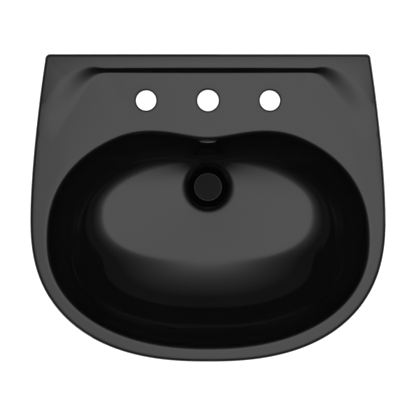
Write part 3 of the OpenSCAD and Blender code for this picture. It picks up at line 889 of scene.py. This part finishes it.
class SINK_OT_pedestal(bpy.types.Operator):
    """Casts the pedestal, open at the back for the pipes"""

    bl_idname = "sink.pedestal"
    bl_label = "Pedestal"

    def execute(self, context):
        size = context.scene.sink_pedestal
        top = PEDESTAL_HIGH.z / MM
        waist, neck, foot, wall = (v / MM for v in (size.waist, size.neck, size.foot, size.wall))
        angles = np.radians(360 * (np.arange(200) + 0.5) / 200)

        def half_width(z):
            if z <= FOOT_H:
                return foot - 3 * z / FOOT_H
            flare = FLARE * math.exp(-(z - FOOT_H) / FLARE_H)
            return waist + flare + (neck - waist) * (z / top) ** 5

        def ring(z, inset, a=None):
            return at(column_line(angles, (half_width(z) if a is None else a) - inset), z)

        levels = [top - 4] + [top * s for s in np.linspace(0.98, 0.12, 44)]
        levels += [24 + d for d in (48, 38, 29, 21, 14, 9, 5)]
        step = half_width(24.01)
        outside = [ring(top, 2.0), ring(top - 0.4, 0.9), ring(top - 1.2, 0.25), ring(top - 2.4, 0)]
        outside += [ring(z, 0) for z in levels]
        outside += [
            ring(26.4, -0.4), ring(25.4, 0, step + 1.2), ring(24.9, 0, step + 2.6),
            ring(24.6, 0, step + 3.6), ring(24.0, 0, step + 4.4), ring(23, 0), ring(12, 0),
            ring(3, 0), ring(1.2, 0.2), ring(0.3, 0.8), ring(0, 1.8),
        ]
        inside = [ring(0, wall + 9), ring(1, wall + 10), ring(24, wall + 8)]
        inside += [ring(z, wall) for z in levels[::-1]]
        inside += [ring(top - 1, wall - 0.2), ring(top, wall - 1.2)]
        piece = skin("pedestal_china", outside + inside, joined=True)
        web = block((-WEB_X, WEB_FRONT, 0), (WEB_X, WEB_BACK, WEB_H))
        combine(piece, [web], "UNION")
        gap = block((-GAP_X, COLUMN_Y, GAP_LOW), (GAP_X, 251, GAP_HIGH), 1, 14.0)
        stud_y = (WEB_FRONT + WEB_BACK) / 2
        stud_hole = rod(STUD_R, (0, stud_y, -2), (0, stud_y, WEB_H + 4), "Z")
        combine(piece, [gap, stud_hole], "DIFFERENCE")
        choices = context.scene.sink_finish
        hand_over(piece, "sink", "pedestal", glaze("pedestal_glaze", choices, 0.0025))
        dress(moulded("pad_rubber", choices.rubber, 0.7, 900.0, 0.3), "pedestal_pads")
        return {"FINISHED"}


class SINK_OT_drain(bpy.types.Operator):
    """Turns the drain body and dresses its gaskets, washer and nut"""

    bl_idname = "sink.drain"
    bl_label = "Drain"

    def execute(self, context):
        low, high = BODY_LOW.z / MM, BODY_HIGH.z / MM
        flange = (BODY_HIGH.x - BODY_LOW.x) / 2 / MM
        thread = []
        z = low + THREAD_L
        while z > low + 4:
            thread += [(THREAD_R, z), (THREAD_ROOT_R, z - THREAD_PITCH / 2)]
            z -= THREAD_PITCH
        line = [
            (18, high - 4), (21, high - 1.5), (flange - 2.4, high - 0.35),
            (flange - 1.2, high - 0.05), (flange - 0.6, high), (flange - 0.2, high - 0.2),
            (flange, high - 0.6), (flange, high - 1.8), (flange - 0.2, high - 2.3),
            (flange - 0.7, high - 2.5), (20.8, high - 2.5), (20.8, low + 61),
            *thread,
            (THREAD_R, low + 1), (20.3, low + 0.2), (19.8, low), (18.4, low), (18, low + 0.4),
            (18, high - 4),
        ]
        piece = ring_closed(turned("drain_body_turned", line, DRAIN_Y, 96))
        hub_z = high - 41
        drain_mm = DRAIN_Y / MM
        hub = ring_closed(turned(
            "hub",
            [(4.1, hub_z), (7.4, hub_z), (8, hub_z + 0.6), (8, hub_z + 9.4), (7.4, hub_z + 10),
             (4.1, hub_z + 10), (4.1, hub_z)],
            DRAIN_Y, 48,
        ))
        spokes = []
        for k in range(3):
            spoke = block((7, drain_mm - 1.75, hub_z + 1), (19, drain_mm + 1.75, hub_z + 9), 0, 0.8)
            edit(spoke)
            bpy.ops.transform.rotate(
                value=-k * math.tau / 3, orient_axis="Z", center_override=(0, DRAIN_Y, 0)
            )
            bpy.ops.object.mode_set(mode="OBJECT")
            spokes.append(spoke)
        combine(piece, [*spokes, hub], "UNION")
        port_z = high - 15
        ports = []
        for x, y in ((-5, 15), (-5, -23), (15, -5), (-23, -5)):
            wide = (10, 8) if x == -5 else (8, 10)
            ports.append(block(
                (x, drain_mm + y, port_z - 6), (x + wide[0], drain_mm + y + wide[1], port_z + 6),
                1 if x == -5 else 0, 2.0,
            ))
        combine(piece, ports, "DIFFERENCE")
        choices = context.scene.sink_finish
        # The drain's coating is matt black, made darker than the cap's coating as painted shade of
        # the gap between cap and recess
        coating = coated("body_coating_painted_shade", choices.coating, 0.6, 0.02)
        hand_over(piece, "sink", "drain_body", coating, 30.0)
        dress(moulded("gasket_rubber", choices.rubber, 0.7, 900.0, 0.3),
              "flange_gasket", "tapered_gasket", "tailpiece_washer")
        dress(moulded("washer_nylon", choices.nylon, 0.35, 500.0, 0.12), "friction_washer")
        dress(metal("nut_brass", choices.brass, 0.25, (1, 1, 9), 700.0, 0.25), "drain_locknut")
        return {"FINISHED"}


class SINK_OT_stopper(bpy.types.Operator):
    """Turns the stopper's cap and dresses the push mechanism under it"""

    bl_idname = "sink.stopper"
    bl_label = "Stopper"

    def execute(self, context):
        low, high = CAP_LOW.z / MM, CAP_HIGH.z / MM
        r = (CAP_HIGH.x - CAP_LOW.x) / 2 / MM
        line = [
            (3, low + 2.2), (3, low), (r - 1.5, low), (r - 0.7, low + 0.2), (r - 0.2, low + 0.6),
            (r, low + 1.1), (r, high - 0.9), (r - 0.06, high - 0.55), (r - 0.25, high - 0.3),
            (r - 0.6, high - 0.14), (r - 1.1, high - 0.02), (r - 1.5, high), (r - 6, high),
            (2, high),
        ]
        piece = capped(turned("stopper_cap_turned", line, DRAIN_Y, 128))
        choices = context.scene.sink_finish
        coating = coated("cap_coating", choices.cap, 0.4, 0.1, polished_from=(r - 1.4) * MM)
        hand_over(piece, "stopper", "stopper_cap", coating, 30.0)
        dress(moulded("seal_rubber", choices.rubber, 0.7, 900.0, 0.3), "stopper_seal")
        dress(metal("stem_brass", choices.brass, 0.2, (1, 1, 9), 900.0, 0.2), "stopper_stem")
        dress(metal("spring_steel", choices.steel, 0.25, (1, 1, 1), 1200.0, 0.2),
              "click_spring", "stem_clip")
        dress(moulded("cartridge_nylon", choices.nylon, 0.35, 500.0, 0.12),
              "cartridge_body", "cartridge_collar", "index_rotor")
        return {"FINISHED"}


class SINK_OT_trap(bpy.types.Operator):
    """Dresses the tailpiece, trap, nuts, arm and wall plate"""

    bl_idname = "sink.trap"
    bl_label = "Trap"

    def execute(self, context):
        choices = context.scene.sink_finish
        dress(metal("pipe_chrome", choices.chrome, 0.04, (1, 1, 6), 240.0, 0.03),
              "tailpiece", "j_bend")
        dress(metal("arm_chrome", choices.chrome, 0.04, (1, 6, 1), 240.0, 0.03), "trap_arm")
        dress(metal("nut_chrome", choices.chrome, 0.08, (1, 1, 3), 300.0, 0.06),
              "trap_inlet_nut", "trap_outlet_nut")
        dress(metal("plate_chrome", choices.chrome, 0.05, (3, 1, 3), 200.0, 0.04),
              "wall_escutcheon")
        dress(moulded("slip_nylon", choices.nylon, 0.35, 500.0, 0.12),
              "trap_inlet_washer", "trap_outlet_washer")
        return {"FINISHED"}


def lamp(name, place, aim, size, power, height=None):
    """Soft area light that the camera doesn't see."""
    light = bpy.data.lights.new(name, "AREA")
    light.energy = power
    light.shape = "RECTANGLE"
    light.size = size
    light.size_y = height or size
    holder = bpy.data.objects.new(name, light)
    bpy.context.scene.collection.objects.link(holder)
    holder.location = place
    away = [a - b for a, b in zip(place, aim)]
    flat = math.hypot(away[0], away[1])
    holder.rotation_euler = (math.atan2(flat, away[2]), 0, math.atan2(away[0], -away[1]))
    holder.visible_camera = False
    return holder


def overhead_light(studio):
    """Overhead light that fades softly from its middle to its edge."""
    drop = studio.light_height - BASIN_HIGH.z
    size = 6.4
    power = studio.light_glow * math.pi * size * size
    x = studio.light_shift
    holder = lamp("overhead", (x, 0, studio.light_height), (x, 0, 0), size, power)
    holder.data.use_nodes = True
    r = Recipe(holder.data.node_tree)
    r.place = r.node("ShaderNodeNewGeometry", out="Position")
    away = r.from_axis(studio.light_shift, 0)
    angle = (away / drop).arctangent()
    fade = 0.96 / (1 + (angle / math.radians(studio.light_spread)) ** 2.6)
    fade = (fade - 0.07 * (away / (size / 2)) ** 2).at_least(0.0)
    face = r.node("ShaderNodeEmission", None, {"Strength": fade})
    output = r.tree.nodes.new("ShaderNodeOutputLight")
    r.tree.links.new(face.socket, output.inputs[0])
    for wide in (15, 20, 27, 36):
        glow = studio.light_glow * 0.0105
        lamp(f"overhead_{wide}", (0, 0, studio.light_height + wide / 50), (0, 0, 0), wide,
             glow * math.pi * wide * wide)


class SINK_OT_stage(bpy.types.Operator):
    """Lays the pale floor and sets the soft lights and the camera"""

    bl_idname = "sink.stage"
    bl_label = "Stage"

    def execute(self, context):
        studio = context.scene.sink_studio
        deselect()
        bpy.ops.mesh.primitive_plane_add(size=60, location=(0, 0, 0))
        floor = start("floor")
        f = Finish("floor_paint")
        tone = f.noise(3.0, 3.0)
        paint = f.tint(tone, (0.9, 0.9, 0.9), 0.985, 1.0)
        floor.data.materials.append(f.surface(
            {"Base Color": paint, "Roughness": 0.8 + 0.1 * tone}, {"Specular IOR Level": 0.2}
        ))
        world = bpy.data.worlds.new("room")
        context.scene.world = world
        world.use_nodes = True
        world.node_tree.nodes["Background"].inputs["Color"].default_value = (1, 1, 1, 1)
        world.node_tree.nodes["Background"].inputs["Strength"].default_value = studio.room_glow
        world.cycles_visibility.glossy = False
        overhead_light(studio)
        lamp("low_left", (-1.5, -1.5, 0.42), (0, 0, 0.42), 1.0, 9.0, 0.74)
        lamp("low_right", (1.9, 0.3, 0.42), (0, 0, 0.42), 0.7, 4.0, 0.74)
        lamp("low_back", (0.5, 2.0, 0.42), (0, 0, 0.42), 1.0, 6.0, 0.74)
        eye = bpy.data.cameras.new("camera")
        holder = bpy.data.objects.new("camera", eye)
        context.scene.collection.objects.link(holder)
        rim = BASIN_HIGH.z - context.scene.sink_basin.ledge
        holder.location = (0, 0, rim + studio.camera_rise)
        eye.sensor_width = 36
        eye.lens = eye.sensor_width * studio.camera_rise / studio.view_width
        eye.clip_end = 100
        context.scene.camera = holder
        context.scene.view_settings.view_transform = "Standard"
        return {"FINISHED"}


class SINK_PT_builder(bpy.types.Panel):
    """Builder of the pedestal sink"""

    bl_label = "Pedestal Sink"
    bl_idname = "SINK_PT_builder"
    bl_space_type = "VIEW_3D"
    bl_region_type = "UI"
    bl_category = "Sink"

    def draw(self, context):
        for group, names in GROUPS.items():
            box = self.layout.box()
            for name in names:
                box.prop(getattr(context.scene, group), name)
        for operator in BUILDERS:
            self.layout.operator(operator.bl_idname)


BUILDERS = (
    SINK_OT_basin, SINK_OT_pedestal, SINK_OT_drain, SINK_OT_stopper, SINK_OT_trap, SINK_OT_stage,
)
SETTINGS = {
    "sink_basin": BasinSizes,
    "sink_pedestal": PedestalSizes,
    "sink_finish": FinishChoices,
    "sink_studio": StudioSettings,
}
GROUPS = {name: list(kind.__annotations__) for name, kind in SETTINGS.items()}


def register():
    for kind in (*SETTINGS.values(), *BUILDERS, SINK_PT_builder):
        bpy.utils.register_class(kind)
    for name, kind in SETTINGS.items():
        setattr(bpy.types.Scene, name, bpy.props.PointerProperty(type=kind))


def unregister():
    for name in SETTINGS:
        delattr(bpy.types.Scene, name)
    for kind in (SINK_PT_builder, *reversed(BUILDERS), *SETTINGS.values()):
        bpy.utils.unregister_class(kind)


def main():
    register()
    bpy.ops.sink.basin()
    bpy.ops.sink.pedestal()
    bpy.ops.sink.drain()
    bpy.ops.sink.stopper()
    bpy.ops.sink.trap()
    bpy.ops.sink.stage()


if __name__ == "__main__":
    main()
